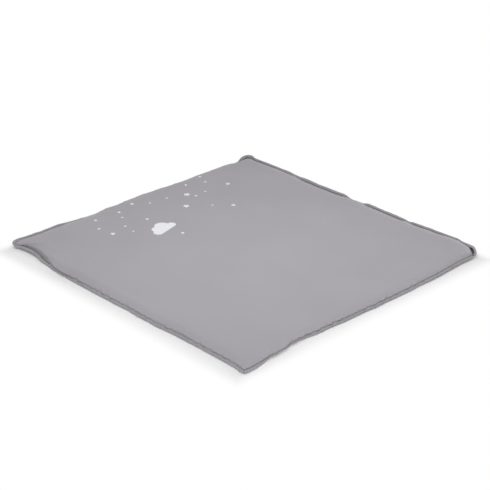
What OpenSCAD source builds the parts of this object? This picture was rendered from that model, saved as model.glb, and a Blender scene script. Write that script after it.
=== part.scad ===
// Baby changing pad: a thin, nearly square mat that lies flat on a table or a bed.
// A sheet of soft foam lies between two wipe-clean fabric panels. The edge of this
// sandwich is rolled up in four binding strips, one along each side, and one line of
// lockstitch pinches strip, panels and foam together. A cloud and small stars are
// printed on the top panel.
//
// Frame: the origin is at the middle of the underside, +X runs along the printed
// picture from left to right, +Y runs from the front edge to the printed back edge,
// and +Z is up.

/* [Pad] */
// Width of the pad, along X
pad_w = 705; // [500:5:900]
// Length of the pad, along Y
pad_l = 720; // [500:5:900]
// Thickness in the middle
pad_t = 13; // [11:0.5:20]
// Radius of the outer corners, seen from above
corner_r = 14; // [12:1:40]

/* [Fabric and foam] */
// Thickness of the coated fabric
fabric_t = 0.6; // [0.4:0.1:0.8]
// Thickness of the foam where the seam pinches it
pinch_t = 1.2; // [0.8:0.1:2]
// Distance from the seam over which the pad swells to its full thickness
shoulder_w = 20; // [8:1:40]
// How steeply the shoulder rises from the seam
shoulder_power = 2.5; // [2:0.1:4]

/* [Binding] */
// Diameter of the rolled edge
bead_d = 7; // [6.4:0.1:7.6]
// Height of the rolled edge's centre above the table
bead_z = 4.2; // [3.8:0.1:5]
// Width of the two flat legs of a strip beyond the roll
leg_w = 1; // [0.8:0.1:1.5]
// Diameter of the sewing thread
thread_d = 0.4; // [0.2:0.05:0.5]

/* [Print] */
// Thickness of the printed film
print_t = 0.15; // [0.1:0.05:0.3]
// Width of the cloud
cloud_w = 70; // [40:1:90]
// Middle of the cloud, from the middle of the pad to the left
cloud_left = 70; // [50:1:120]
// Middle of the cloud, from the middle of the pad to the back
cloud_back = 191; // [150:1:220]
// Turn of the cloud
cloud_turn = 16; // [-20:1:30]
// Size of the small stars, as a factor
star_size = 1.1; // [0.7:0.05:1.2]

/* [Hidden] */
$fn = 48;
// Half the diameter of the rolled edge
bead_r = bead_d / 2;
// Distance from the outer edge to the ends of the binding's legs
seam_end = bead_d + leg_w;
// Half thicknesses of foam, of foam and panels, and of the whole seam, where pinched
foam_half = pinch_t / 2;
panel_half = foam_half + fabric_t;
seam_half = panel_half + fabric_t;
// Number of straight steps that round a shoulder
shoulder_steps = 10;
// A little extra, so that a cut passes right through
slack = 1;
// Colours
foam_colour = "Ivory";
top_colour = [0.66, 0.64, 0.66];
bottom_colour = [0.60, 0.59, 0.61];
binding_colour = [0.58, 0.57, 0.59];
thread_colour = [0.42, 0.41, 0.43];
print_colour = "White";

// Stars: distance to the right, distance to the back, and radius
STARS = [
  [-150, 318, 3.4], [-172, 278, 3.2], [-166, 238, 5.0], [-86, 316, 3.6],
  [-98, 290, 2.6], [-122, 250, 3.0], [-126, 218, 2.6], [-38, 330, 3.6],
  [-64, 246, 3.6], [-4, 308, 2.6], [42, 304, 2.6], [120, 328, 2.8],
  [88, 288, 6.4], [98, 268, 3.2], [44, 240, 6.4], [174, 340, 3.4],
  [166, 312, 3.0], [130, 272, 2.6], [196, 268, 5.0], [124, 172, 4.6],
  [90, 204, 2.6], [-54, 140, 3.6]
];

// Share of the full rise that the shoulder has reached, for u from 0 to 1
function rise(u) = pow(1 - pow(1 - u, shoulder_power), 1 / shoulder_power);

// Points of one shoulder, from the seam at x = 0 to the flat at x = w
function shoulder(w, z_seam, z_flat) = [
  for (i = [0 : shoulder_steps])
    let (u = pow(i / shoulder_steps, 1.6))
    [w * u, z_seam + (z_flat - z_seam) * rise(u)]
];

// A row of points turned end for end
function reversed(points) = [for (i = [len(points) - 1 : -1 : 0]) points[i]];

// Section of the swollen part of a pad of the given width, upright in x and y.
// layer is the fabric thickness left off all round.
module swell_section(width, layer) {
  half = width / 2;
  edge = seam_end + layer;
  seam = panel_half - layer;
  run = shoulder_w - layer;
  top = shoulder(run, bead_z + seam, pad_t - layer);
  under = shoulder(run, bead_z - seam, layer);
  left_top = [for (p = top) [p[0] + edge - half, p[1]]];
  left_under = [for (p = under) [p[0] + edge - half, p[1]]];
  right_top = [for (p = top) [half - edge - p[0], p[1]]];
  right_under = [for (p = under) [half - edge - p[0], p[1]]];
  polygon(concat(left_top, reversed(right_top), right_under, reversed(left_under)));
}

// Outline of the pad seen from above, moved in from its outer edge
module outline(inset) {
  r = corner_r - inset;
  w = pad_w - 2 * inset;
  l = pad_l - 2 * inset;
  square([w - 2 * r, l], center = true);
  square([w, l - 2 * r], center = true);
  for (x = [-1, 1], y = [-1, 1])
    translate([x * (w / 2 - r), y * (l / 2 - r)]) circle(r);
}

// The swollen part inside the seam: the same section both ways, with round corners
module swell(layer) {
  intersection() {
    rotate([90, 0, 0])
      linear_extrude(pad_l + 2 * slack, center = true) swell_section(pad_w, layer);
    rotate([90, 0, 90])
      linear_extrude(pad_w + 2 * slack, center = true) swell_section(pad_l, layer);
    linear_extrude(pad_t) outline(seam_end + layer);
  }
}

// Sweeps a section round the edge of the pad. In the section, x is the distance
// inwards from the outer edge and y is the height.
module round_the_edge() {
  for (side = [-1, 1]) {
    translate([side * pad_w / 2, 0, 0])
      rotate([90, 0, 0])
        linear_extrude(pad_l - 2 * corner_r, center = true)
          mirror([side > 0 ? 1 : 0, 0]) children();
    translate([0, side * pad_l / 2, 0])
      rotate([90, 0, 90])
        linear_extrude(pad_w - 2 * corner_r, center = true)
          mirror([side > 0 ? 1 : 0, 0]) children();
  }
  for (corner = [0 : 3]) {
    sx = (corner == 0 || corner == 3) ? 1 : -1;
    sy = corner < 2 ? 1 : -1;
    translate([sx * (pad_w / 2 - corner_r), sy * (pad_l / 2 - corner_r), 0])
      rotate([0, 0, 90 * corner])
        rotate_extrude(angle = 90)
          translate([corner_r, 0]) mirror([1, 0]) children();
  }
}

// Section of the rolled edge and its pinched neck, less a number of fabric layers
module roll_section(r, half, reach) {
  translate([bead_r, bead_z]) circle(r);
  translate([bead_r, bead_z - half]) square([reach - bead_r, 2 * half]);
}

// The foam's whole shape
module foam_shape() {
  swell(fabric_t);
  round_the_edge() roll_section(bead_r - 2 * fabric_t, foam_half, seam_end + fabric_t);
}

// Foam and both panels together
module sandwich_shape() {
  swell(0);
  round_the_edge() roll_section(bead_r - fabric_t, panel_half, seam_end);
}

// All that lies above the line where the two panels meet
module upper_half() {
  translate([0, 0, bead_z + pad_t / 2])
    cube([pad_w + 2 * slack, pad_l + 2 * slack, pad_t], center = true);
}

// Binding strip, open towards the pad, all the way round
module binding_ring() {
  round_the_edge()
    difference() {
      roll_section(bead_r, seam_half, seam_end);
      roll_section(bead_r - fabric_t, panel_half, seam_end + slack);
    }
}

// One side's share of the binding. The strips meet at a mitre in each corner, and
// turn says which side: 0 front, 1 right, 2 back, 3 left.
module binding_side(turn) {
  along = turn % 2 == 0 ? pad_w : pad_l;
  across = turn % 2 == 0 ? pad_l : pad_w;
  half = along / 2;
  depth = 2 * corner_r;
  color(binding_colour)
    intersection() {
      binding_ring();
      rotate([0, 0, 90 * turn])
        translate([0, -across / 2, 0])
          linear_extrude(pad_t)
            polygon([
              [-half - slack, -slack], [half + slack, -slack],
              [half - depth, depth], [depth - half, depth]
            ]);
    }
}

// One line of thread round the pad, in the middle of the binding's leg
module thread_line(z) {
  color(thread_colour)
    round_the_edge() translate([bead_d + leg_w / 2, z]) circle(d = thread_d, $fn = 16);
}

// Foam sheet that fills the pad and is pinched at the seam
module foam_core() {
  color(foam_colour) foam_shape();
}

// Upper fabric panel, from the roll's middle over the top
module top_panel() {
  color(top_colour)
    difference() {
      intersection() {
        sandwich_shape();
        upper_half();
      }
      foam_shape();
    }
}

// Lower fabric panel, which lies on the table
module bottom_panel() {
  color(bottom_colour)
    difference() {
      sandwich_shape();
      upper_half();
      foam_shape();
    }
}

// Strip along the front edge
module binding_front() {
  binding_side(0);
}

// Strip along the right edge
module binding_right() {
  binding_side(1);
}

// Strip along the printed back edge
module binding_back() {
  binding_side(2);
}

// Strip along the left edge
module binding_left() {
  binding_side(3);
}

// Needle thread, on the upper leg of the binding
module needle_thread() {
  thread_line(bead_z + seam_half + thread_d / 2);
}

// Bobbin thread, under the lower leg of the binding
module bobbin_thread() {
  thread_line(bead_z - seam_half - thread_d / 2);
}

// Cloud: three humps on a flat base with round ends
module cloud_print() {
  w = cloud_w;
  color(print_colour)
    translate([-cloud_left, cloud_back, pad_t])
      rotate([0, 0, cloud_turn])
        linear_extrude(print_t) {
          translate([-0.35 * w, -0.12 * w]) circle(0.15 * w);
          translate([-0.16 * w, 0.02 * w]) circle(0.20 * w);
          translate([0.12 * w, 0.06 * w]) circle(0.24 * w);
          translate([0.36 * w, -0.13 * w]) circle(0.14 * w);
          translate([-0.35 * w, -0.27 * w]) square([0.71 * w, 0.22 * w]);
        }
}

// One star with five points
module star(r) {
  inner = 0.45 * r;
  polygon([
    for (i = [0 : 9])
      let (reach = i % 2 == 0 ? r : inner)
      [reach * sin(36 * i), reach * cos(36 * i)]
  ]);
}

// Small stars scattered along the back of the pad
module star_prints() {
  color(print_colour)
    for (i = [0 : len(STARS) - 1])
      translate([STARS[i][0], STARS[i][1], pad_t])
        rotate([0, 0, 31 * i])
          linear_extrude(print_t) star(STARS[i][2] * star_size);
}

foam_core();
bottom_panel();
top_panel();
binding_front();
binding_right();
binding_back();
binding_left();
needle_thread();
bobbin_thread();
cloud_print();
star_prints();
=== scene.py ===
# Baby changing pad: a foam sheet between two wipe-clean fabric panels, its edge rolled up
# in four binding strips and sewn round with one line of lockstitch, with a small white
# print. Metres; origin in the middle of the underside, +X along the printed picture,
# +Y towards the printed back edge, +Z up.
import math

import bpy
import numpy as np
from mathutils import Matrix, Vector
from mathutils.bvhtree import BVHTree


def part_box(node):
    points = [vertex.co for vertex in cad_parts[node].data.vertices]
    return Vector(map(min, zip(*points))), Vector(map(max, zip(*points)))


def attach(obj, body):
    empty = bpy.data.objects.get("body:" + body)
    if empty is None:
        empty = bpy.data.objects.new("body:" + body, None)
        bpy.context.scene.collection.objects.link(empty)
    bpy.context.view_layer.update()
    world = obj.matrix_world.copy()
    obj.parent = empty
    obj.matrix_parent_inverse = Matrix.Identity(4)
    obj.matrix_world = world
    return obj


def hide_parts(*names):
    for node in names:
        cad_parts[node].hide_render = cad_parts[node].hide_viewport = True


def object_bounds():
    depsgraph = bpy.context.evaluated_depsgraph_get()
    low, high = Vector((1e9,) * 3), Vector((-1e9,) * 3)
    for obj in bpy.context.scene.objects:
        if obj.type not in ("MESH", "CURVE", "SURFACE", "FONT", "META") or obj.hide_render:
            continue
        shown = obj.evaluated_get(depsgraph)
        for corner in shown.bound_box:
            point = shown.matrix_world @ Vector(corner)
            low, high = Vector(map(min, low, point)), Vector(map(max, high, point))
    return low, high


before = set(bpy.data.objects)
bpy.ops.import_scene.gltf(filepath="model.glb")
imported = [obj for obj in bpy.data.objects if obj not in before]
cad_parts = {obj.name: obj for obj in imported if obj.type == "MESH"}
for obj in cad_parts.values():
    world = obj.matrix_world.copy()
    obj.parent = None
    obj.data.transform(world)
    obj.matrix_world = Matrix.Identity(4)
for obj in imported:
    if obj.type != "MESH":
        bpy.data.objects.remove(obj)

cad_low, cad_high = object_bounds()


# ------------ foam core
# A sheet of soft open-cell foam, cut to the pad's outline with round corners. The seam
# pinches its edge, which swells again inside the binding. Nothing glues it to the fabric.
MM = 0.001
half_w, half_l = cad_high.x, cad_high.y
pad_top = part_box("top_panel")[1].z
roll_low, roll_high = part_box("binding_front")[0].z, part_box("binding_front")[1].z
roll_radius, roll_z = (roll_high - roll_low) / 2, (roll_high + roll_low) / 2
fabric = 0.6 * MM
seam_inset = half_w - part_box("needle_thread")[1].x + 0.7 * MM
pinch = 1.2 * MM
shoulder = 5 * MM
slope_reach = 38 * MM
lift_reach = 55 * MM
rim_inset = 100 * MM
# Corner radii, anticlockwise from the corner at -X, -Y: front, right, back and left
CORNERS = (8 * MM, 34 * MM, 14 * MM, 20 * MM)
tightest = 1.2 * MM
shoulder_rounding = 17 * MM

# The edge is hand-sewn and a little uneven. Each track gives its course round the pad:
# 0 to 1 is the front side, 1 to 2 the right, 2 to 3 the back and 3 to 4 the left side.
# How far the outline stands out from straight, in millimetres
BOW = (
    (0, -0.5), (0.03, 2), (0.05, 2), (0.07, 1.4), (0.1, -1.4), (0.13, -1.4), (0.16, -3.6),
    (0.2, -7.8), (0.24, -8.4), (0.29, -4.8), (0.35, -4.2), (0.41, -1.6), (0.47, -2), (0.53, 0),
    (0.6, -0.6), (0.66, 0), (0.72, -1.8), (0.79, -2.2), (0.85, -4.4), (0.89, -7), (0.93, -7.2),
    (0.97, -7.5), (1, -8.5), (1.06, 3), (1.1, 7), (1.18, 4), (1.28, 0.8), (1.36, 2), (1.45, 4),
    (1.5, 2.4), (1.55, 2.4), (1.62, 0.7), (1.7, 0.8), (1.76, 1.4), (1.86, 5), (1.94, 2),
    (1.98, -0.5), (2, 2), (2.04, 1.4), (2.085, 8), (2.2, 7), (2.32, 4.9), (2.47, 8.9), (2.6, 5.1),
    (2.69, 4.2), (2.76, 7.4), (2.85, 7.6), (2.89, 5.2), (2.93, 5.8), (2.965, 8), (2.985, 6.4),
    (3, -5), (3.015, -12), (3.03, -17.5), (3.06, -20.5), (3.1, -17.5), (3.13, -12.5), (3.17, -7.5),
    (3.21, -0.5), (3.25, 1), (3.32, 0.8), (3.44, 0.2), (3.55, -0.8), (3.66, 0), (3.77, -4),
    (3.85, -4.4), (3.93, -4.4)
)
# How far the edge lifts off the table, in millimetres
LIFT = (
    (0, 0), (0.3, 0.3), (0.6, 0), (0.86, 0.4), (0.95, 1.6), (1, 3), (1.06, 2), (1.2, 1.6),
    (1.32, 0.8), (1.6, 0.8), (1.8, 1.4), (1.92, 1.8), (1.98, 3.6), (2.01, 5), (2.03, 4.4),
    (2.07, 1.4), (2.3, 0.8), (2.66, 0.6), (2.8, 1), (2.9, 1.4), (2.98, 1.4), (3.03, 0.6),
    (3.07, 0.5), (3.12, 0.4), (3.24, 0.4), (3.4, 0.2), (3.75, 0.1)
)
# How far the seam is drawn down, in millimetres
DIP = (
    (0, 0.6), (0.05, 1.4), (0.1, 0.6), (0.5, 0.3), (0.9, 0.8), (0.96, 1.6), (1, 3.8), (1.04, 3.2),
    (1.08, 1), (1.4, 0.6), (1.9, 0.8), (1.99, 3.4), (2.03, 1.6), (2.06, 0.6), (2.5, 0.2),
    (2.9, 0.6), (2.99, 0.8), (3.04, 3), (3.13, 3.4), (3.18, 1.2), (3.3, 0.2), (3.7, 0.2)
)
# How much of the padding's height is gained close to the seam, as a share
CREST = (
    (0, 0.6), (0.3, 0.56), (0.96, 0.5), (1.06, 0.5), (1.1, 0.36), (1.17, 0.2), (1.26, 0.2),
    (1.285, 0.44), (1.31, 0.12), (1.45, 0.12), (1.49, 0.62), (1.53, 0.62), (1.57, 0.1), (1.74, 0.1),
    (1.78, 0.44), (1.82, 0.32), (1.95, 0.36), (2.05, 0.55), (2.1, 0.64), (2.62, 0.64), (2.72, 0.25),
    (2.96, 0.12), (3.04, 0.36), (3.12, 0.6), (3.26, 0.64), (3.34, 0.52), (3.9, 0.54)
)
# How far the roll is tipped up about the seam, in degrees
STAND = (
    (0, 0), (0.05, -6), (0.08, -50), (0.12, -65), (0.2, -60), (0.26, -20), (0.32, 0), (0.7, 4),
    (0.9, 6), (0.965, 6), (1, 14), (1.03, 40), (1.05, 40), (1.08, 22), (1.13, 24), (1.17, 40),
    (1.26, 44), (1.285, 22), (1.32, 48), (1.45, 46), (1.485, 4), (1.53, 4), (1.57, 44), (1.74, 50),
    (1.78, 24), (1.82, 34), (1.93, 36), (1.98, 62), (2.02, 50), (2.05, 10), (2.1, -30), (2.5, -30),
    (2.74, -20), (2.82, 16), (2.96, 18), (3.01, 4), (3.14, 0), (3.2, -30), (3.25, -50), (3.31, -10),
    (3.45, 2), (3.6, 0), (3.8, 2)
)
# How far the roll stands off the seam, in millimetres
PEEL = (
    (0.973, 0), (0.98, 3.4), (1, 5), (1.02, 4.8), (1.04, 2.4), (1.07, 0), (1.97, 0), (1.99, 1.4),
    (2.01, 3.8), (2.03, 3), (2.046, 0.4), (2.05, 0), (2.99, 0), (3.02, 2.4), (3.045, 4.6),
    (3.12, 4.6), (3.16, 3.6), (3.19, 2), (3.22, 0)
)
# How thick the roll is, as a share of its usual thickness
ROLL = (
    (0, 0.8), (0.07, 0.7), (0.1, 0.5), (0.2, 0.5), (0.25, 0.62), (0.4, 0.66), (0.7, 0.68),
    (0.8, 0.74), (0.92, 0.74), (0.97, 0.72), (1, 0.55), (1.04, 0.66), (1.1, 0.9), (1.53, 0.9),
    (1.6, 1.05), (1.97, 1), (2.01, 0.8), (2.06, 0.9), (2.96, 1), (3, 1.15), (3.05, 1.05),
    (3.09, 0.8), (3.15, 0.66), (3.22, 0.58), (3.3, 0.66), (3.6, 0.7), (3.9, 0.76)
)
roll_flatness = 0.80
roll_gap = 0.3 * MM
leg = 1.0 * MM
bend_reach = 3 * MM
level_tip = 0.45
# How far the front corner is pulled out of place, in millimetres along X and Y
front_pull = (0.0, -8.5)
pull_reach = 60 * MM


def track(points, tau):
    """Smooth periodic course through given points, read at tau, which runs from 0 to 4."""
    at = np.array([p[0] for p in points])
    value = np.array([p[1] for p in points], float)
    at = np.concatenate([[at[-1] - 4], at, [at[0] + 4, at[1] + 4]])
    value = np.concatenate([[value[-1]], value, [value[0], value[1]]])
    rise = np.diff(value) / np.diff(at)
    slope = np.zeros(len(at))
    same = rise[:-1] * rise[1:] > 0
    slope[1:-1][same] = (2 * rise[:-1] * rise[1:] / (rise[:-1] + rise[1:] + 1e-12))[same]
    t = np.mod(tau, 4.0)
    k = np.clip(np.searchsorted(at, t, side="right") - 1, 0, len(at) - 2)
    span = at[k + 1] - at[k]
    u = (t - at[k]) / span
    return ((2 * u**3 - 3 * u**2 + 1) * value[k] + (3 * u**2 - 2 * u**3) * value[k + 1]
            + span * ((u**3 - 2 * u**2 + u) * slope[k] + (u**3 - u**2) * slope[k + 1]))


def waver(tau, seed, fewest, most, count=12):
    """Uneven ripple round the pad, about -1 to 1: waves per side from fewest to most."""
    rng = np.random.default_rng(seed)
    total = np.zeros_like(np.asarray(tau, float))
    for _ in range(count):
        waves = int(rng.uniform(fewest, most) * 4)
        total += rng.uniform(0.5, 1.0) * np.sin(
            2 * math.pi * waves * np.asarray(tau) / 4 + rng.uniform(0, 2 * math.pi))
    return total / (0.75 * math.sqrt(count))


def corner_radii(inset):
    """Corner radii at an inset: parallel up to the seam, wider on the shoulder, then square."""
    if inset <= seam_inset:
        return [max(c - inset, tightest) for c in CORNERS]
    far = (inset - seam_inset) / (rim_inset - seam_inset)
    wider = shoulder_rounding * math.sin(math.pi * min(1.0, far) ** 0.72)
    return [max(max(c - seam_inset, tightest) * (1 - far) + wider, 0.02 * MM)
            for c in CORNERS]


def side_fractions(cells):
    """The value of tau at every point of a ring."""
    return np.concatenate([side + np.arange(n) / n for side, n in enumerate(cells)])


def plan_ring(inset, cells):
    """Points, outward normals and tau round the pad at an inset, on arcs and straights."""
    corners = corner_radii(inset)
    points, normals = [], []
    for side in range(4):
        full = 2 * (half_w if side % 2 == 0 else half_l) - 2 * inset
        r1, r2 = corners[side], corners[(side + 1) % 4]
        arc1, arc2 = r1 * math.pi / 4, r2 * math.pi / 4
        straight = full - r1 - r2
        d = np.arange(cells[side]) / cells[side] * (arc1 + straight + arc2)
        early, late = d < arc1, d > arc1 + straight
        turn = np.where(early, d / r1 - math.pi / 4, 0.0)
        turn = np.where(late, (d - arc1 - straight) / r2, turn)
        nx, ny = np.sin(turn), -np.cos(turn)
        x = np.where(early, r1 + r1 * nx, np.where(late, full - r2 + r2 * nx, r1 + d - arc1))
        y = np.where(early, r1 + r1 * ny, np.where(late, r2 + r2 * ny, 0.0))
        along = np.array(((1, 0), (0, 1), (-1, 0), (0, -1))[side])
        inward = np.array([-along[1], along[0]])
        origin = -(along + inward) * np.array([half_w - inset, half_l - inset])
        points.append(origin + x[:, None] * along + y[:, None] * inward)
        normals.append(nx[:, None] * along + ny[:, None] * inward)
    return np.concatenate(points), np.concatenate(normals), side_fractions(cells)


def edge_shift(tau, inset):
    """How far the uneven edge moves a point outwards and up, fading towards the middle."""
    out = (track(BOW, tau) + 0.3 * waver(tau, 11, 4, 16)) * MM
    out = out * (1 - min(1.0, max(0.0, inset) / rim_inset) ** 2) ** 2
    up = track(LIFT, tau) * MM * (1 - min(1.0, max(0.0, inset) / lift_reach) ** 2) ** 2
    drawn = track(DIP, tau) * MM * math.exp(-((inset - seam_inset) / (3 * MM)) ** 2)
    return out, up - drawn


def corner_pull(flat):
    """How far points near the front corner are pulled along with it."""
    far = np.linalg.norm(flat + np.array([half_w, half_l]), axis=1)
    return np.exp(-(far / pull_reach) ** 2)[:, None] * np.array(front_pull) * MM


def ring_points(inset, height, cells, out_extra=0.0):
    """One ring of points in space. height and out_extra may vary round the ring."""
    flat, normal, tau = plan_ring(inset, cells)
    out, up = edge_shift(tau, inset)
    flat = flat + normal * (out + out_extra)[:, None] + corner_pull(flat)
    return np.column_stack([flat, height + up])


def rolled(radius, deep, angle, tau, up):
    """Offset from the seam and height of a point inside the rolled edge, deep under its skin."""
    reach = np.maximum(radius - deep, roll_gap)
    offset = leg + track(PEEL, tau) * MM + radius + reach * np.cos(angle)
    return tipped(offset, roll_flatness * reach * np.sin(angle), radius, tau, up)


def tipped(offset, height, radius, tau, up):
    """Tips a point of the roll about the seam, and lets a level roll sag on to the table."""
    tip = np.radians(track(STAND, tau) + 4 * waver(tau, 43, 4, 12))
    level = np.exp(-(tip / level_tip) ** 2)
    sag = level * np.maximum(roll_z - roll_flatness * radius - roll_gap, 0)
    bend = np.clip(offset / bend_reach, 0, 1)
    out = offset * (1 - bend) + bend * (offset * np.cos(tip) - height * np.sin(tip))
    rise = offset * np.sin(tip) + height * np.cos(tip) - sag + track(DIP, tau) * MM
    return out, roll_z + up + height * (1 - bend) + bend * rise


def stopping(stops, tau):
    """How far a layer is flattened, and then drawn back, where it stops short of the roll."""
    ends = track(stops, tau)
    return np.clip(2 * ends, 0, 1), np.clip(2 * ends - 1, 0, 1)


def roll_ring(deep, angle, cells, lowest, stops, stop_out, stop_up):
    """A ring inside the rolled edge: so deep under its skin, at an angle from outwards.

    Where the track stops is 1 the layer ends near the seam, stop_out and stop_up from it."""
    flat, normal, tau = plan_ring(seam_inset, cells)
    out, up = edge_shift(tau, seam_inset)
    off, z = rolled(roll_radius * track(ROLL, tau), deep, math.radians(angle), tau, up)
    flattened, drawn_back = stopping(stops, tau)
    off = off + drawn_back * (stop_out - off)
    z = z + flattened * (roll_z + stop_up + up - z)
    flat = flat + normal * (out + off)[:, None] + corner_pull(flat)
    return np.column_stack([flat, np.maximum(z, lowest)])


def swell(run, low, high, cells):
    """Height of the padding at a run inwards from the seam: a quick rise, then a slow one."""
    quick = math.sqrt(1 - (1 - min(1.0, run / shoulder)) ** 2)
    slow = 1 - (1 - min(1.0, run / slope_reach)) ** 2
    share = track(CREST, side_fractions(cells))
    return low + (high - low) * (share * quick + (1 - share) * slow)


def grid_patch(loop, cells):
    """Points inside a square ring, row by row, spread evenly between its four sides."""
    nx, ny = cells[0], cells[1]
    south, east = loop[0:nx + 1], loop[nx:nx + ny + 1]
    north = loop[nx + ny:2 * nx + ny + 1][::-1]
    west = np.concatenate([loop[2 * nx + ny:], loop[:1]])[::-1]
    u = (np.arange(1, nx) / nx)[None, :, None]
    v = (np.arange(1, ny) / ny)[:, None, None]
    edges = ((1 - v) * south[None, 1:nx] + v * north[None, 1:nx]
             + (1 - u) * west[1:ny, None] + u * east[1:ny, None])
    bent = ((1 - u) * (1 - v) * south[0] + u * (1 - v) * south[-1]
            + (1 - u) * v * north[0] + u * v * north[-1])
    return (edges - bent).reshape(-1, 3)


def ring_faces(a, n, b, m):
    """Faces between a ring of n points from a and the next of m, as many or half as many."""
    if n == m:
        return [(a + i, a + (i + 1) % n, b + (i + 1) % m, b + i) for i in range(n)]
    faces = []
    for i in range(m):
        first, middle, last = a + 2 * i, a + 2 * i + 1, a + (2 * i + 2) % n
        near, far = b + i, b + (i + 1) % m
        faces += [(first, middle, near), (middle, far, near), (middle, last, far)]
    return faces


def sheet_faces(rings, cells, upward=True):
    """Faces of rings, outermost first, closed by an even grid inside the last ring."""
    nx, ny = cells[0], cells[1]
    count = 2 * (nx + ny)
    faces, start = [], 0
    for ring, following in zip(rings, rings[1:]):
        faces += ring_faces(start, len(ring), start + len(ring), len(following))
        start += len(ring)
    ring = start + np.arange(count)
    grid = np.empty((ny + 1, nx + 1), int)
    grid[0], grid[:, nx] = ring[:nx + 1], ring[nx:nx + ny + 1]
    grid[ny, ::-1] = ring[nx + ny:2 * nx + ny + 1]
    grid[:0:-1, 0] = ring[2 * nx + ny:]
    grid[1:-1, 1:-1] = start + count + np.arange((nx - 1) * (ny - 1)).reshape(ny - 1, nx - 1)
    grid = grid.tolist()
    faces += [(grid[j][i], grid[j][i + 1], grid[j + 1][i + 1], grid[j + 1][i])
              for j in range(ny) for i in range(nx)]
    return faces if upward else [f[::-1] for f in faces]


def make_piece(name, points, faces, material):
    """A smooth-shaded mesh object."""
    mesh = bpy.data.meshes.new(name)
    mesh.from_pydata([tuple(p) for p in points], [], faces)
    mesh.validate()
    mesh.shade_smooth()
    mesh.materials.append(material)
    piece = bpy.data.objects.new(name, mesh)
    bpy.context.scene.collection.objects.link(piece)
    return piece


def colour(r, g, b):
    """Scene-linear colour from the 0 to 255 values that a colour chart gives."""
    return tuple(c / 12.92 if c <= 0.04045 else ((c + 0.055) / 1.055) ** 2.4
                 for c in (r / 255, g / 255, b / 255)) + (1.0,)


def wire(tree, start, end):
    """Joins an output to an input; either may be given as (node, socket name)."""
    tree.links.new(start[0].outputs[start[1]], end[0].inputs[end[1]])


def set_inputs(tree, node, values):
    """Fills a node's inputs; each value is a number or an output (node, socket name)."""
    for label, value in values.items():
        if isinstance(value, tuple) and isinstance(value[0], bpy.types.Node):
            wire(tree, value, (node, label))
        else:
            node.inputs[label].default_value = value
    return node


def add_node(tree, kind, group=None, **values):
    """A shader node, or a group, its inputs given by name with _ for each space."""
    node = tree.nodes.new("ShaderNode" + kind)
    if group:
        node.node_tree = group
    return set_inputs(tree, node, {k.replace("_", " "): v for k, v in values.items()})


def maths(tree, operation, *inputs):
    """A Math node; each input is a number or an output (node, socket name)."""
    node = tree.nodes.new("ShaderNodeMath")
    node.operation = operation
    return (set_inputs(tree, node, dict(enumerate(inputs))), 0)


def bump(tree, height, distance, **values):
    """Surface relief of a height map, distance being the depth of its full range."""
    return (add_node(tree, "Bump", Height=height, Distance=distance, **values), "Normal")


def shader_group(name, output, **numbers):
    """An empty node group: a Vector and numbers, with their usual values, go in; one comes out."""
    group = bpy.data.node_groups.new(name, "ShaderNodeTree")
    group.interface.new_socket(name="Vector", in_out="INPUT", socket_type="NodeSocketVector")
    for label, value in numbers.items():
        socket = group.interface.new_socket(name=label.replace("_", " "), in_out="INPUT",
                                            socket_type="NodeSocketFloat")
        socket.default_value = value
    group.interface.new_socket(name=output, in_out="OUTPUT", socket_type="NodeSocketFloat")
    return group, group.nodes.new("NodeGroupInput"), group.nodes.new("NodeGroupOutput")


def soft_mottle_group():
    """Slow, cloudy change of tone with a fine speckle, as in any dyed or foamed material."""
    group, given, out = shader_group("soft_mottle", "Tone", Cloud_Scale=9.0,
                                     Speckle_Scale=900.0, Speckle_Share=0.3)
    cloud = add_node(group, "TexNoise", Detail=4.0, Vector=(given, "Vector"),
                     Scale=(given, "Cloud Scale"))
    speckle = add_node(group, "TexNoise", Detail=2.0, Vector=(given, "Vector"),
                       Scale=(given, "Speckle Scale"))
    rest = maths(group, "SUBTRACT", 1.0, (given, "Speckle Share"))
    slow = maths(group, "MULTIPLY", (cloud, "Fac"), rest)
    fine = maths(group, "MULTIPLY", (speckle, "Fac"), (given, "Speckle Share"))
    wire(group, maths(group, "ADD", slow, fine), (out, "Tone"))
    return group


def foam_cells_group():
    """Open foam cells: rounded pits between thin walls. Height is 1 on the walls."""
    group, given, out = shader_group("foam_cells", "Height", Scale=900.0)
    cells = add_node(group, "TexVoronoi", Vector=(given, "Vector"), Scale=(given, "Scale"))
    cells.feature = "DISTANCE_TO_EDGE"
    ramp = add_node(group, "MapRange", Value=(cells, "Distance"), From_Max=0.35,
                    To_Min=1.0, To_Max=0.0)
    wire(group, (ramp, "Result"), (out, "Height"))
    return group


def new_material(name):
    """A material's node tree with a Principled BSDF and object coordinates."""
    material = bpy.data.materials.new(name)
    material.use_nodes = True
    tree = material.node_tree
    place = tree.nodes.new("ShaderNodeTexCoord")
    return material, tree, tree.nodes["Principled BSDF"], (place, "Object")


def blend_colours(tree, factor, dark, light):
    """Mix of two colours by a factor that changes over the surface."""
    mix = tree.nodes.new("ShaderNodeMix")
    mix.data_type = "RGBA"
    return (set_inputs(tree, mix, {0: factor, 6: dark, 7: light}), 2)


def foam_material():
    """Cream polyurethane foam: matte, with slight yellowing, its pits painted darker as painted
    shade.
    """
    material, tree, shader, place = new_material("cream_foam")
    cells = add_node(tree, "Group", foam_cells, Vector=place, Scale=750.0)
    tone = add_node(tree, "Group", soft_mottle, Vector=place, Cloud_Scale=14.0, Speckle_Share=0.2)
    body = blend_colours(tree, (tone, "Tone"), colour(224, 212, 178), colour(242, 234, 208))
    # The pits are painted darker: painted shade in the foam's cells
    pits_painted_shade = blend_colours(tree, (cells, "Height"), colour(176, 160, 122), body)
    wire(tree, pits_painted_shade, (shader, "Base Color"))
    wire(tree, bump(tree, (cells, "Height"), 0.4 * MM), (shader, "Normal"))
    shader.inputs["Roughness"].default_value = 0.95
    return material


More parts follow.
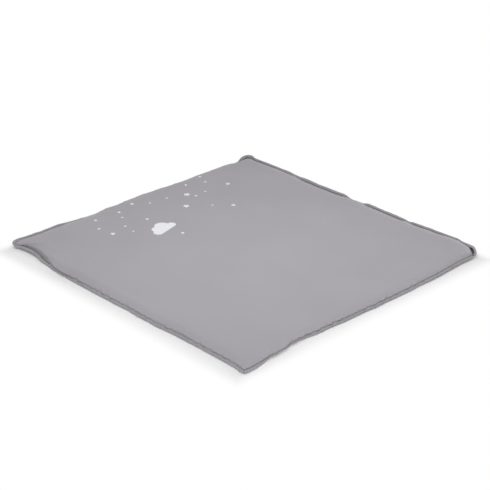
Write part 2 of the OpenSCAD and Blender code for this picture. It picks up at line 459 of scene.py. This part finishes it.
soft_mottle = soft_mottle_group()
foam_cells = foam_cells_group()
FOAM_CELLS = (84, 86, 84, 86)
foam_drop = 2.4 * fabric
foam_back = 4.5 * MM
corner_gap = 4.5 * MM
foam_depth = 3.6 * fabric
# Rings inside the roll: degrees from outwards, and how they are stepped where the foam is
# drawn back, in millimetres
FOAM_LIPS = ((25, 1.2), (55, 0.9), (90, 0.6), (125, 0.3))
# Where the foam stops short of the roll: 1 at the corners, 0 along the sides
FOAM_ENDS = (
    (0, 1), (0.05, 0), (0.9, 0), (0.95, 1), (1.07, 1), (1.12, 0), (1.9, 0), (1.95, 1), (2.08, 1),
    (2.13, 0), (2.9, 0), (2.95, 1), (3.22, 1), (3.27, 0), (3.95, 0)
)


def foam_rings(sign):
    """Rings of the foam's upper (sign 1) or lower (-1) side, from the outer edge inwards."""
    neck = roll_z + sign * pinch / 3
    middle = pad_top - foam_drop if sign > 0 else 1.6 * fabric
    rings = [roll_ring(foam_depth, sign * angle, FOAM_CELLS, 2 * fabric, FOAM_ENDS,
                       lip * MM - corner_gap, neck - roll_z) for angle, lip in FOAM_LIPS]
    runs = [shoulder * (1 - math.cos(math.radians(angle))) for angle in range(15, 91, 15)]
    runs += list(np.linspace(shoulder, rim_inset - seam_inset - foam_back, 15)[1:])
    course = [(seam_inset, neck)] + [(seam_inset + foam_back + run,
                                      swell(run, neck, middle, FOAM_CELLS)) for run in runs]
    back = -corner_gap * stopping(FOAM_ENDS, side_fractions(FOAM_CELLS))[1]
    for inset, height in course:
        near = 1 - (inset - seam_inset) / (rim_inset - seam_inset)
        rings.append(ring_points(inset, height, FOAM_CELLS, back * near**3))
    return rings


def make_foam():
    """The whole foam sheet: an upper and a lower skin joined round the outer edge."""
    upper, lower = foam_rings(1), foam_rings(-1)
    points, faces, base = [], [], 0
    count = 2 * (FOAM_CELLS[0] + FOAM_CELLS[1])
    for rings, up in ((upper, True), (lower, False)):
        middle = grid_patch(rings[-1], FOAM_CELLS)
        points += rings + [middle]
        faces += [tuple(i + base for i in f) for f in sheet_faces(rings, FOAM_CELLS, up)]
        base += count * len(rings) + len(middle)
    below = count * len(upper) + (FOAM_CELLS[0] - 1) * (FOAM_CELLS[1] - 1)
    faces += [((i + 1) % count, i, below + i, below + (i + 1) % count) for i in range(count)]
    return make_piece("foam_sheet", np.concatenate(points), faces, foam_material())


foam = make_foam()
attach(foam, "root")
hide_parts("foam_core")


# ------------ bottom panel
# The lower cover: a square of coated polyester, the same cloth as the top, painted a little darker
# as painted shade, its inner face near black as painted shade. It lies flat on the table, turns up
# towards the seam and ends in the binding.
def coated_weave_group():
    """Plain weave under a thin coating: threads over and under each other, seen faintly."""
    group, given, out = shader_group("coated_weave", "Height", Pitch=0.0006)
    parts = add_node(group, "SeparateXYZ", Vector=(given, "Vector"))
    per = maths(group, "DIVIDE", math.pi, (given, "Pitch"))
    warp = maths(group, "SINE", maths(group, "MULTIPLY", (parts, "X"), per))
    weft = maths(group, "SINE", maths(group, "MULTIPLY", (parts, "Y"), per))
    over = maths(group, "GREATER_THAN", maths(group, "MULTIPLY", warp, weft), 0.0)
    thin_warp, thin_weft = maths(group, "ABSOLUTE", warp), maths(group, "ABSOLUTE", weft)
    top = maths(group, "MULTIPLY", thin_warp, maths(group, "MULTIPLY_ADD", thin_weft, 0.45, 0.55))
    low = maths(group, "MULTIPLY", thin_weft, maths(group, "MULTIPLY_ADD", thin_warp, 0.45, 0.55))
    shown = maths(group, "MULTIPLY", over, top)
    under = maths(group, "MULTIPLY", maths(group, "SUBTRACT", 1.0, over), low)
    wire(group, maths(group, "ADD", shown, under), (out, "Height"))
    return group


def cover_material(name, dark, light, turn=0.0, rough=(0.58, 0.70)):
    """Coated cover fabric: faint weave with painted shade in its hollows, slow mottling, satin
    gloss. turn sets the grain.
    """
    material, tree, shader, place = new_material(name)
    grain = add_node(tree, "Mapping", Vector=place, Rotation=(0.0, 0.0, math.radians(turn)))
    weave = add_node(tree, "Group", coated_weave, Vector=(grain, "Vector"), Pitch=weave_pitch)
    tone = add_node(tree, "Group", soft_mottle, Vector=place, Cloud_Scale=7.0, Speckle_Share=0.25)
    creep = add_node(tree, "Group", soft_mottle, Vector=place, Cloud_Scale=120.0,
                     Speckle_Scale=420.0, Speckle_Share=0.5)
    # Colour from the slow mottling, plus painted shade in the weave's hollows
    depth = maths(tree, "MULTIPLY_ADD", (weave, "Height"), 0.16, (tone, "Tone"))
    wire(tree, blend_colours(tree, depth, dark, light), (shader, "Base Color"))
    gloss = add_node(tree, "MapRange", Value=(creep, "Tone"), From_Min=0.3, From_Max=0.7,
                     To_Min=rough[0], To_Max=rough[1])
    wire(tree, (gloss, "Result"), (shader, "Roughness"))
    threads = bump(tree, (weave, "Height"), 0.05 * MM, Strength=0.5)
    crinkles = bump(tree, (creep, "Tone"), 0.25 * MM, Strength=0.35, Normal=threads)
    wire(tree, crinkles, (shader, "Normal"))
    shader.inputs["Sheen Weight"].default_value = 0.06
    shader.inputs["Sheen Roughness"].default_value = 0.5
    shader.inputs["Specular IOR Level"].default_value = 0.28
    return material


coated_weave = coated_weave_group()
weave_pitch = 0.62 * MM
tuck_depth = 2.2 * fabric
fine_reach = 36 * MM
COVER_CELLS = (120, 122, 120, 122)
EDGE_CELLS = (240, 244, 240, 244)
# The lower cover's cloth is the top's cloth painted a little darker: painted shade
under_cloth_painted_shade = cover_material("grey_cover_under_painted_shade", colour(146, 143, 147), colour(162, 158, 163))
# Near-black inner face of the covers and strips: painted shade, which darkens the gaps between
# cover and roll
inner_face_painted_shade = cover_material("dark_back_painted_shade", colour(52, 50, 54), colour(66, 64, 68),
                         rough=(0.85, 0.95))
# Rings tucked in the roll: degrees from outwards, and where one ends that has slipped out of
# it, in millimetres past the seam
TUCK_RINGS = ((6, 1.4), (35, 1.3), (70, 1.2), (105, 1.1), (140, 1.0))
# The lower cover stays in the binding all round
NO_STOPS = ((0, 0), (2, 0))


def fold_rows(sign, stops, shoulder_ring, flat_z):
    """Rings of a cover panel: tucked into the binding, through the seam, over the shoulder."""
    seam_z = roll_z + sign * (pinch / 2 + fabric)
    rings = [roll_ring(tuck_depth, sign * angle, EDGE_CELLS, 1.2 * fabric, stops, lip * MM,
                       seam_z - roll_z) for angle, lip in TUCK_RINGS]
    for inset in (seam_inset - 0.8 * MM, seam_inset):
        rings.append(ring_points(inset, seam_z, EDGE_CELLS))
    for angle in (8, 16, 25, 35, 46, 58, 72, 90):
        rings.append(shoulder_ring(math.radians(angle), seam_z, flat_z))
    for inset in np.linspace(seam_inset + shoulder, rim_inset, 21)[1:]:
        cells = EDGE_CELLS if inset < fine_reach else COVER_CELLS
        height = swell(inset - seam_inset, seam_z, flat_z, cells)
        rings.append(ring_points(inset, height, cells))
    return rings


def under_shoulder(angle, seam_z, flat_z):
    """A ring of the lower shoulder, a little slack and gathered along the seam."""
    run = shoulder * (1 - math.cos(angle))
    height = swell(run, seam_z, flat_z, EDGE_CELLS)
    points = ring_points(seam_inset + run, height, EDGE_CELLS)
    gather = 0.35 * MM * waver(side_fractions(EDGE_CELLS), 31, 14, 26)
    points[:, 2] += gather * math.sin(angle) ** 2 * math.cos(angle) ** 0.5
    return points


def thicken(piece):
    """Gives a one-layer cover its thickness, on the inner side, its inner face near black as
    painted shade.
    """
    skin = piece.modifiers.new("thickness", "SOLIDIFY")
    skin.thickness = fabric
    skin.offset = -1.0
    piece.data.materials.append(inner_face_painted_shade)
    skin.material_offset = 1
    return piece


def make_bottom():
    """The lower cover, flat on the table in the middle but for a slight unevenness."""
    rings = fold_rows(-1, NO_STOPS, under_shoulder, 0.0)
    points = np.concatenate(rings + [grid_patch(rings[-1], COVER_CELLS)])
    x, y = points[:, 0], points[:, 1]
    inside = np.minimum(half_w - abs(x), half_l - abs(y))
    uneven = np.clip((inside - 0.02) / 0.05, 0, 1) * 0.12 * MM
    points[:, 2] += uneven * (1 + np.sin(61 * x + 17 * y) * np.cos(43 * y - 23 * x))
    points[:, 2] = np.maximum(points[:, 2], 0.0)
    faces = sheet_faces(rings, COVER_CELLS, upward=False)
    return thicken(make_piece("bottom_cover", points, faces, under_cloth_painted_shade))


bottom = make_bottom()
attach(bottom, "root")
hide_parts("bottom_panel")


# ------------ top panel
# The upper cover, drawn over the foam and pinched all round by the seam. The stitching
# gathers it slightly, so it puckers along the seam and swells over the roll in places.
# How far the shoulder leans out over the seam, in millimetres; below 0 the seam lies open
HOOD = (
    (0, 0.6), (0.05, 1.2), (0.085, 4), (0.11, 6.5), (0.2, 6.5), (0.26, 3.6), (0.32, 1.8),
    (0.5, 1.4), (0.64, 1.2), (0.8, 0.8), (0.9, 0.6), (0.96, 0.4), (1, 0.4), (1.06, 1), (1.12, 1.6),
    (1.16, -1), (1.26, -1), (1.285, 1), (1.31, -1.4), (1.45, -1.4), (1.49, 2.2), (1.53, 2.2),
    (1.57, -1.4), (1.74, -1.6), (1.78, 1), (1.82, -0.4), (1.95, -0.6), (2, -1.4), (2.06, 1),
    (2.14, 3), (2.4, 3.8), (2.6, 3.4), (2.72, 0.6), (2.86, -0.4), (2.97, -0.6), (3.02, -0.6),
    (3.08, -1.2), (3.16, -0.4), (3.2, 2.8), (3.25, 5.5), (3.3, 1.6), (3.42, 0.7), (3.58, 0.9),
    (3.7, 0.7), (3.86, 1), (3.95, 0.6)
)
# How strongly the stitching puckers the cover, in millimetres
PUCKER = (
    (0, 0.5), (0.07, 1.4), (0.15, 0.4), (0.3, 1.6), (0.45, 1.1), (0.6, 1.3), (0.8, 0.7), (1, 0.2),
    (1.28, 1.2), (1.5, 0.4), (1.8, 1.3), (2, 0.3), (2.5, 0.4), (3, 0.2), (3.25, 0.5), (3.36, 2.4),
    (3.5, 1.6), (3.68, 2.6), (3.76, 1.2), (3.9, 2.4)
)
# Where the upper cover has slipped out of the binding: 1 where its edge ends at the seam
COVER_ENDS = (
    (0.97, 0), (0.98, 1), (1.04, 1), (1.06, 0), (1.99, 0), (2, 1), (2.04, 1), (2.05, 0), (3.01, 0),
    (3.03, 1), (3.17, 1), (3.2, 0)
)
# Small swells and dents in the top: place, turn in degrees, length, width, and rise in millimetres
DENTS = (
    (-0.170, -0.100, 55, 0.060, 0.014, 0.4), (-0.215, -0.285, 20, 0.030, 0.012, 0.5),
    (-0.174, -0.288, 12, 0.026, 0.012, 0.5), (0.150, 0.060, -30, 0.080, 0.024, -0.3),
    (0.250, -0.220, 40, 0.070, 0.020, 0.3)
)
CLOTH_FRAMES = 18
cloth_cap = 2.5 * MM
top_cloth = cover_material("grey_cover", colour(163, 160, 165), colour(176, 173, 178))


def undulation(x, y):
    """Slow rise and fall of the padded surface, with a few small swells, in metres."""
    wave = (0.34 * np.sin(2 * math.pi * (x / 0.41 + 0.13)) * np.cos(2 * math.pi * (y / 0.37 - 0.21))
            + 0.26 * np.sin(2 * math.pi * (x / 0.23 + y / 0.31 + 0.4))
            + 0.16 * np.sin(2 * math.pi * (x / 0.15 - y / 0.19)))
    for cx, cy, turn, long, wide, rise in DENTS:
        c, s = math.cos(math.radians(turn)), math.sin(math.radians(turn))
        a, b = (x - cx) * c + (y - cy) * s, (y - cy) * c - (x - cx) * s
        wave = wave + rise * np.exp(-(a / long) ** 2 - (b / wide) ** 2)
    return wave * MM


def over_shoulder(angle, seam_z, flat_z):
    """A ring of the upper shoulder, leaning out over the seam where the hood says so."""
    run = shoulder * (1 - math.cos(angle))
    tau = side_fractions(EDGE_CELLS)
    lean = math.exp(-((math.degrees(angle) - 32) / 20) ** 2)
    pucker = track(PUCKER, tau) * waver(tau, 7, 22, 48)
    hood = (track(HOOD, tau) + 0.4 * waver(tau, 5, 5, 14) + pucker) * MM * lean
    height = swell(run, seam_z, flat_z, EDGE_CELLS)
    points = ring_points(seam_inset + run, height, EDGE_CELLS, hood)
    points[:, 2] += 0.35 * MM * waver(tau, 8, 9, 22) * math.sin(2 * angle) ** 2
    return points


def settle_cloth(piece, held, eased):
    """Runs the cloth: held points stay, eased ones have spare cloth and are blown up."""
    for label, weights in (("held", held), ("eased", eased)):
        group = piece.vertex_groups.new(name=label)
        for level in np.unique(np.round(weights, 2)):
            if level > 0:
                group.add(np.nonzero(np.round(weights, 2) == level)[0].tolist(),
                          float(level), "REPLACE")
    count = len(piece.data.vertices)
    before = np.empty(count * 3, np.float32)
    piece.data.vertices.foreach_get("co", before)
    before = before.reshape(-1, 3)
    cloth = piece.modifiers.new("cloth", "CLOTH")
    for setting, value in dict(
            quality=6, mass=0.25, tension_stiffness=25, compression_stiffness=25,
            shear_stiffness=10, bending_stiffness=1.2, vertex_group_mass="held",
            vertex_group_shrink="eased", shrink_min=0.0, shrink_max=-0.03,
            use_pressure=True, uniform_pressure_force=3.0).items():
        setattr(cloth.settings, setting, value)
    cloth.settings.effector_weights.gravity = 0.0
    cloth.collision_settings.use_collision = False
    cloth.point_cache.frame_start, cloth.point_cache.frame_end = 1, CLOTH_FRAMES
    scene = bpy.context.scene
    for step in range(1, CLOTH_FRAMES + 1):
        scene.frame_set(step)
    settled = piece.evaluated_get(bpy.context.evaluated_depsgraph_get())
    after = np.empty(count * 3, np.float32)
    settled.data.vertices.foreach_get("co", after)
    move = after.reshape(-1, 3) - before
    size = np.linalg.norm(move, axis=1, keepdims=True)
    move *= np.minimum(1.0, cloth_cap / np.maximum(size, 1e-9))
    piece.modifiers.remove(cloth)
    scene.frame_set(1)
    piece.data.vertices.foreach_set("co", (before + move).astype(np.float32).ravel())
    piece.data.update()
    piece.vertex_groups.clear()


def make_top():
    """The upper cover with its puckers, settled as cloth over the band along the seam."""
    rings = fold_rows(1, COVER_ENDS, over_shoulder, pad_top)
    sewn_rings = len(TUCK_RINGS) + 2
    points = np.concatenate(rings + [grid_patch(rings[-1], COVER_CELLS)])
    inside = np.minimum(half_w - abs(points[:, 0]), half_l - abs(points[:, 1]))
    fade = np.clip((inside - 0.012) / 0.03, 0, 1)
    points[:, 2] += undulation(points[:, 0], points[:, 1]) * fade * fade * (3 - 2 * fade)
    faces = sheet_faces(rings, COVER_CELLS)
    piece = make_piece("top_cover", points, faces, top_cloth)
    held = np.clip((inside - 0.030) / 0.022, 0, 1)
    held[:sewn_rings * len(rings[0])] = 1.0
    eased = np.clip(1 - abs(inside - 0.020) / 0.016, 0, 1)
    settle_cloth(piece, held, eased)
    return piece


top = thicken(make_top())
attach(top, "root")
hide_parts("top_panel")


# ------------ binding strips
# Four strips of the same fabric, cut on the bias, painted a little darker than the top as painted
# shade, their inner face near black as painted shade. Each is folded round its side's raw edge and
# sewn down; the right-hand strip runs on round both its corners.
# The strips' cloth is the top's cloth painted a little darker: painted shade
binding_cloth_painted_shade = cover_material("grey_binding_painted_shade", colour(152, 149, 154), colour(168, 165, 170),
                               turn=45.0)
STATION = 2.1 * MM
SECTION_TURNS = 17
end_fade = 0.018


def seam_line(fineness):
    """The seam all round: plan points, outward normals and tau, about a station apart."""
    cells = [int(2 * h / fineness) for h in (half_w, half_l, half_w, half_l)]
    flat, normal, tau = plan_ring(seam_inset, cells)
    out, up = edge_shift(tau, seam_inset)
    return flat + normal * out[:, None] + corner_pull(flat), normal, tau, up


def make_strip(name, begin, end, swell_begin, swell_end):
    """One strip from tau begin to tau end. Its ends swell or shrink by the given shares."""
    flat, normal, tau, up = seam_line(STATION)
    order = np.argsort(np.mod(tau - begin, 4.0), kind="stable")
    chosen = order[np.mod(tau[order] - begin, 4.0) <= end - begin]
    flat, normal, tau, up = flat[chosen], normal[chosen], tau[chosen], up[chosen]
    share = np.linspace(0, 1, len(tau))
    taper = (1 + swell_begin * np.exp(-(share / end_fade) ** 2)
             + swell_end * np.exp(-((1 - share) / end_fade) ** 2))
    radius = roll_radius * taper * track(ROLL, tau) * (1 + 0.05 * waver(tau, 41, 3, 12))
    neck = 3 * fabric
    angles = np.radians(np.linspace(152, -152, SECTION_TURNS))
    loose = track(PEEL, tau) * MM
    outer = [(loose - 0.4 * MM, np.full_like(radius, neck * 0.9)),
             (loose + 0.7 * MM, np.full_like(radius, neck))]
    for n, angle in enumerate(angles):
        pucker = 0.22 * MM * waver(tau + 0.012 * math.sin(angle), 50, 18, 34)
        pucker = pucker * (0.35 + 0.65 * abs(math.cos(angle / 2))) * (0.4 if n < 2 else 1.0)
        reach = radius + pucker
        outer.append((leg + loose + radius + reach * np.cos(angle),
                      roll_flatness * reach * np.sin(angle)))
    outer += [(o, -h) for o, h in (outer[1], outer[0])]
    section = outer + list(reversed(shrink_section(outer)))
    rows = []
    for k, (o, h) in enumerate(section):
        out, z = tipped(o, h, radius, tau, up)
        lowest = 0.15 * MM + (0.0 if k < len(outer) else fabric)
        rows.append(np.column_stack([flat + normal * out[:, None], np.maximum(z, lowest)]))
    points = np.stack(rows, axis=1).reshape(-1, 3)
    across, stations = len(section), len(tau)
    faces = [(s * across + i, s * across + (i + 1) % across,
              (s + 1) * across + (i + 1) % across, (s + 1) * across + i)
             for s in range(stations - 1) for i in range(across)]
    half = len(outer)
    for s, turned in ((0, True), (stations - 1, False)):
        for i in range(half - 1):
            quad = (s * across + i, s * across + i + 1,
                    s * across + across - 2 - i, s * across + across - 1 - i)
            faces.append(quad[::-1] if turned else quad)
    piece = make_piece(name, points, faces, binding_cloth_painted_shade)
    # The strip's inner face is near black: painted shade in the gaps
    piece.data.materials.append(inner_face_painted_shade)
    for face in piece.data.polygons:
        if min(v % across for v in face.vertices) >= half:
            face.material_index = 1
    return piece


def shrink_section(outer):
    """The inner face of a strip's section, one fabric thickness inside the outer face."""
    inner = []
    for k, (o, h) in enumerate(outer):
        before, after = outer[max(k - 1, 0)], outer[min(k + 1, len(outer) - 1)]
        run_o, run_h = after[0] - before[0], after[1] - before[1]
        size = np.sqrt(run_o**2 + run_h**2)
        inner.append((o + run_h / size * fabric, h - run_o / size * fabric))
    return inner


STRIPS = (
    ("binding_strip_front", "binding_front", -0.0005, 0.972, 0.04, -0.08),
    ("binding_strip_right", "binding_right", 0.976, 2.049, -0.10, -0.30),
    ("binding_strip_back", "binding_back", 2.050, 3.0005, -0.10, -0.12),
    ("binding_strip_left", "binding_left", 2.9995, 4.0005, -0.10, -0.06),
)
strips = []
for strip_name, node, begin, end, swell_begin, swell_end in STRIPS:
    strip = make_strip(strip_name, begin, end, swell_begin, swell_end)
    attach(strip, "root")
    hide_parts(node)
    strips.append(strip)


# ------------ seam threads
# One line of lockstitch through strip, covers and foam. The needle thread shows as short
# stitches in the crease on top, the bobbin thread as the same stitches underneath.
def thread_material():
    """Twisted polyester thread, a shade darker than the fabric, with painted shade in the twist's
    grooves.
    """
    material, tree, shader, place = new_material("grey_thread")
    turned = add_node(tree, "Mapping", Vector=place, Rotation=(0.6, 0.6, 0.6))
    twist = add_node(tree, "TexWave", Vector=(turned, "Vector"), Scale=900.0, Distortion=1.5)
    # Darker where the twist's grooves lie: painted shade
    tone = blend_colours(tree, (twist, "Fac"), colour(98, 96, 100), colour(128, 126, 131))
    wire(tree, tone, (shader, "Base Color"))
    wire(tree, bump(tree, (twist, "Fac"), 0.06 * MM), (shader, "Normal"))
    shader.inputs["Roughness"].default_value = 0.6
    return material


thread_look = thread_material()
stitch_pitch = 3.2 * MM
stitch_length = 2.7 * MM
thread_radius = 0.24 * MM
stitch_out = 0.25 * MM
# A stitch along its length: place, thickness and height, as shares of its half length and radius
STITCH_RINGS = ((-1.0, 0.45, -0.9), (-0.75, 0.9, -0.1), (-0.3, 1.0, 0.35),
                (0.3, 1.0, 0.35), (0.75, 0.9, -0.1), (1.0, 0.45, -0.9))


def make_stitches(name, sign):
    """Stitches on the strip's leg, or on the cover where the roll stands off. sign 1 is on top."""
    flat, normal, tau, up = seam_line(stitch_pitch)
    near_out, near_z = tipped(-0.4 * MM, sign * 2.7 * fabric, roll_radius, tau, up)
    far_out, far_z = tipped(0.7 * MM, sign * 3 * fabric, roll_radius, tau, up)
    sewn = near_z + (far_z - near_z) * (stitch_out - near_out) / (far_out - near_out)
    cover = roll_z + up + sign * 2 * fabric
    height = sewn + np.clip(track(PEEL, tau), 0, 1) * (cover - sewn)
    height = np.maximum(height + sign * 0.6 * thread_radius, 2 * thread_radius)
    points, faces = [], []
    for k in range(len(tau)):
        along = np.array([-normal[k][1], normal[k][0], 0.0])
        side = np.array([normal[k][0], normal[k][1], 0.0])
        centre = np.array([*(flat[k] + normal[k] * stitch_out), height[k]])
        base = len(points)
        for share, girth, rise in STITCH_RINGS:
            middle = centre + along * share * stitch_length / 2
            middle = middle + np.array([0, 0, sign * rise * thread_radius])
            for corner in range(6):
                turn = math.radians(60 * corner)
                points.append(middle + thread_radius * girth
                              * (side * math.cos(turn) + np.array([0, 0, math.sin(turn)])))
        for ring in range(5):
            for corner in range(6):
                a, b = base + ring * 6 + corner, base + ring * 6 + (corner + 1) % 6
                faces.append((a, a + 6, b + 6, b))
        faces.append(tuple(base + c for c in range(6)))
        faces.append(tuple(base + 30 + c for c in reversed(range(6))))
    return make_piece(name, np.array(points), faces, thread_look)


for stitch_name, node, sign in (("needle_stitches", "needle_thread", 1),
                                ("bobbin_stitches", "bobbin_thread", -1)):
    stitches = make_stitches(stitch_name, sign)
    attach(stitches, "root")
    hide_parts(node)


# ------------ print
# A white cloud and a scatter of small stars, pressed on the top cover as a thin film. Each
# lies on the cover and follows its surface.
def ink_material():
    """White print film: matte, with the cloth's texture pressed through it."""
    material, tree, shader, place = new_material("white_print")
    weave = add_node(tree, "Group", coated_weave, Vector=place, Pitch=weave_pitch)
    tone = add_node(tree, "Group", soft_mottle, Vector=place, Cloud_Scale=60.0, Speckle_Share=0.4)
    white = blend_colours(tree, (tone, "Tone"), colour(238, 239, 243), colour(250, 250, 252))
    wire(tree, white, (shader, "Base Color"))
    wire(tree, bump(tree, (weave, "Height"), 0.03 * MM, Strength=0.4), (shader, "Normal"))
    shader.inputs["Roughness"].default_value = 0.55
    return material


ink = ink_material()
film = 0.14 * MM
film_sink = 0.1 * MM
# Neighbouring points of a star lie closer together than this, and no two stars do
star_gap = 8 * MM
star_growth = 1.1
cover_tree = BVHTree.FromObject(top, bpy.context.evaluated_depsgraph_get())


def on_cover(x, y):
    """Height of the top cover's outer face at a place."""
    return cover_tree.ray_cast(Vector((x, y, 0.1)), Vector((0, 0, -1)))[0].z


def film_patch(outlines, rows):
    """Films over closed outlines, each (centre, points): a crowned skin with thin sides."""
    points, faces = [], []
    for centre, outline in outlines:
        base, count = len(points), len(outline)
        for row in range(rows):
            share = 1 - row / rows
            rim = film * (0.5 if row == 0 else 1.0)
            points += [(x, y, on_cover(x, y) + rim)
                       for x, y in (centre + (p - centre) * share for p in outline)]
        points.append((*centre, on_cover(*centre) + film))
        points += [(x, y, on_cover(x, y) - film_sink) for x, y in outline]
        for row in range(rows - 1):
            a, b = base + row * count, base + (row + 1) * count
            faces += [(a + i, a + (i + 1) % count, b + (i + 1) % count, b + i)
                      for i in range(count)]
        last, tip, foot = base + (rows - 1) * count, base + rows * count, base + rows * count + 1
        faces += [(last + i, last + (i + 1) % count, tip) for i in range(count)]
        faces += [(base + (i + 1) % count, base + i, foot + i, foot + (i + 1) % count)
                  for i in range(count)]
        faces.append(tuple(foot + i for i in reversed(range(count))))
    return points, faces


def cloud_outline():
    """Three humps and two round ends on a flat base, about its middle, turned a little."""
    width, turn = 70 * MM, math.radians(16)
    low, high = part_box("cloud_print")
    humps = ((-0.35, -0.12, 0.15), (-0.16, 0.02, 0.20), (0.12, 0.06, 0.24), (0.36, -0.13, 0.14))
    box_left, box_right, box_low = -0.35, 0.36, -0.27
    reach = []
    heart = np.array([0.0, -0.08])
    for angle in np.linspace(0, 2 * math.pi, 160, endpoint=False):
        way = np.array([math.cos(angle), math.sin(angle)])
        best = 0.0
        for cx, cy, r in humps:
            to = np.array([cx, cy]) - heart
            near = to @ way
            off = r * r - (to @ to - near * near)
            if off > 0:
                best = max(best, near + math.sqrt(off))
        if way[1] < 0:
            wall = box_right if way[0] > 0 else box_left
            best = max(best, min((box_low - heart[1]) / way[1], wall / way[0]))
        reach.append(heart + way * best)
    shape = np.array(reach) * width
    spin = np.array([[math.cos(turn), math.sin(turn)], [-math.sin(turn), math.cos(turn)]])
    shape = shape @ spin
    middle = np.array([(low.x + high.x) / 2, (low.y + high.y) / 2])
    shape += middle - (shape.min(0) + shape.max(0)) / 2
    return shape


def star_outlines():
    """Each small star, with softened points, where the star_prints solids lie."""
    place = np.array([v.co[:2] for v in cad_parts["star_prints"].data.vertices])
    joined = np.linalg.norm(place[:, None] - place, axis=2) < star_gap
    for _ in range(4):
        joined = joined.astype(float) @ joined > 0
    outlines = []
    for flat in (place[same] for first, same in enumerate(joined) if same.argmax() == first):
        centre = np.unique(np.round(flat, 6), axis=0).mean(0)
        arms = flat - centre
        far = arms[np.argmax(np.linalg.norm(arms, axis=1))]
        size, start = star_growth * np.linalg.norm(far), math.atan2(far[1], far[0])
        outline = []
        for angle in 2 * math.pi * np.arange(40) / 40:
            point = 0.5 + 0.5 * math.cos(5 * angle)
            outline.append(centre + size * (0.60 + 0.42 * point ** 1.6)
                           * np.array([math.cos(start + angle), math.sin(start + angle)]))
        outlines.append((centre, np.array(outline)))
    return outlines


cloud = cloud_outline()
cloud_points, cloud_faces = film_patch([(cloud.mean(0), cloud)], 12)
cloud_film = make_piece("cloud_film", cloud_points, cloud_faces, ink)
star_points, star_faces = film_patch(star_outlines(), 2)
star_film = make_piece("star_films", star_points, star_faces, ink)
for film_piece, node in ((cloud_film, "cloud_print"), (star_film, "star_prints")):
    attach(film_piece, "root")
    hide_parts(node)


# ------------ studio
# A plain white floor that keeps the pad's soft shadow close to it, broad low lights beyond the
# right and back sides, a low one beside the camera and a small one overhead, and a camera
# 1.35 m up, off the front corner.
floor_shade = 1.02
# How much further the shadow reaches on the left and in front before it fades
shadow_left, shadow_front = 0.019, 0.010


def floor_material():
    """White to the eye, with the shadow kept; plain pale floor to everything else."""
    material = bpy.data.materials.new("studio_floor")
    material.use_nodes = True
    tree = material.node_tree
    tree.nodes.remove(tree.nodes["Principled BSDF"])
    path = tree.nodes.new("ShaderNodeLightPath")
    seen = maths(tree, "MAXIMUM", (path, "Is Camera Ray"),
                 maths(tree, "MAXIMUM", (path, "Is Glossy Ray"), (path, "Is Transmission Ray")))
    place = tree.nodes.new("ShaderNodeTexCoord")
    parts = add_node(tree, "SeparateXYZ", Vector=(place, "Object"))
    beside = maths(tree, "SUBTRACT", maths(
        tree, "ABSOLUTE", maths(tree, "ADD", (parts, "X"), shadow_left)), half_w)
    before = maths(tree, "SUBTRACT", maths(
        tree, "ABSOLUTE", maths(tree, "ADD", (parts, "Y"), shadow_front)), half_l)
    open_floor = add_node(tree, "MapRange", Value=maths(tree, "MAXIMUM", beside, before),
                          From_Min=-0.010, From_Max=0.027)
    open_floor.interpolation_type = "SMOOTHSTEP"
    shade = add_node(tree, "BsdfDiffuse", Color=(floor_shade, floor_shade, floor_shade, 1.0))
    white = tree.nodes.new("ShaderNodeEmission")
    near_or_far = tree.nodes.new("ShaderNodeMixShader")
    set_inputs(tree, near_or_far, {0: (open_floor, "Result"), 1: (shade, 0), 2: (white, 0)})
    plain = add_node(tree, "BsdfDiffuse", Color=(0.84, 0.84, 0.85, 1.0))
    mix = tree.nodes.new("ShaderNodeMixShader")
    set_inputs(tree, mix, {0: seen, 1: (plain, 0), 2: (near_or_far, 0)})
    wire(tree, (mix, 0), (tree.nodes["Material Output"], "Surface"))
    return material


def make_floor():
    """A large flat floor just under the pad."""
    reach = 9.0
    piece = make_piece("floor", [(-reach, -reach, 0), (reach, -reach, 0), (reach, reach, 0),
                                 (-reach, reach, 0)], [(0, 1, 2, 3)], floor_material())
    piece.location.z = -0.0002


def make_world():
    """White to the eye, a dim even light to everything else."""
    world = bpy.data.worlds.new("studio")
    bpy.context.scene.world = world
    world.use_nodes = True
    tree = world.node_tree
    path = tree.nodes.new("ShaderNodeLightPath")
    white = tree.nodes["Background"]
    white.inputs["Color"].default_value = (1.0, 1.0, 1.0, 1.0)
    dim = add_node(tree, "Background", Color=(1.0, 1.0, 1.0, 1.0), Strength=0.38)
    mix = tree.nodes.new("ShaderNodeMixShader")
    set_inputs(tree, mix, {0: (path, "Is Camera Ray"), 1: (dim, 0), 2: (white, 0)})
    wire(tree, (mix, 0), (tree.nodes["World Output"], "Surface"))


def add_light(name, place, aim, size, power):
    """A square soft light at a place, aimed at a point."""
    lamp = bpy.data.lights.new(name, "AREA")
    lamp.shape, lamp.size, lamp.energy = "SQUARE", size, power
    light = bpy.data.objects.new(name, lamp)
    light.visible_camera = False
    light.location = place
    light.rotation_euler = (Vector(aim) - Vector(place)).to_track_quat("-Z", "Y").to_euler()
    bpy.context.scene.collection.objects.link(light)


make_floor()
make_world()
add_light("key_light", (4.2, 0.5, 1.25), (0.0, 0.0, 0.0), 2.4, 88.0)
add_light("back_light", (0.2, 4.2, 1.25), (0.0, 0.0, 0.0), 2.4, 48.0)
add_light("fill_light", (-2.3, -2.5, 0.45), (0.0, 0.0, 0.0), 1.4, 56.0)
add_light("top_light", (-0.08, -0.08, 0.70), (-0.08, -0.08, 0.0), 0.6, 2.05)

camera_data = bpy.data.cameras.new("camera")
camera_data.lens, camera_data.sensor_width = 108.15, 36.0
camera = bpy.data.objects.new("camera", camera_data)
heading, down = math.radians(46.65), math.radians(25.59)
sight = Vector((math.cos(heading) * math.cos(down), math.sin(heading) * math.cos(down),
                -math.sin(down)))
camera.location = (-1.9138, -2.0245, 1.3491)
camera.rotation_euler = sight.to_track_quat("-Z", "Y").to_euler()
bpy.context.scene.collection.objects.link(camera)
bpy.context.scene.camera = camera
bpy.context.scene.view_settings.view_transform = "Standard"
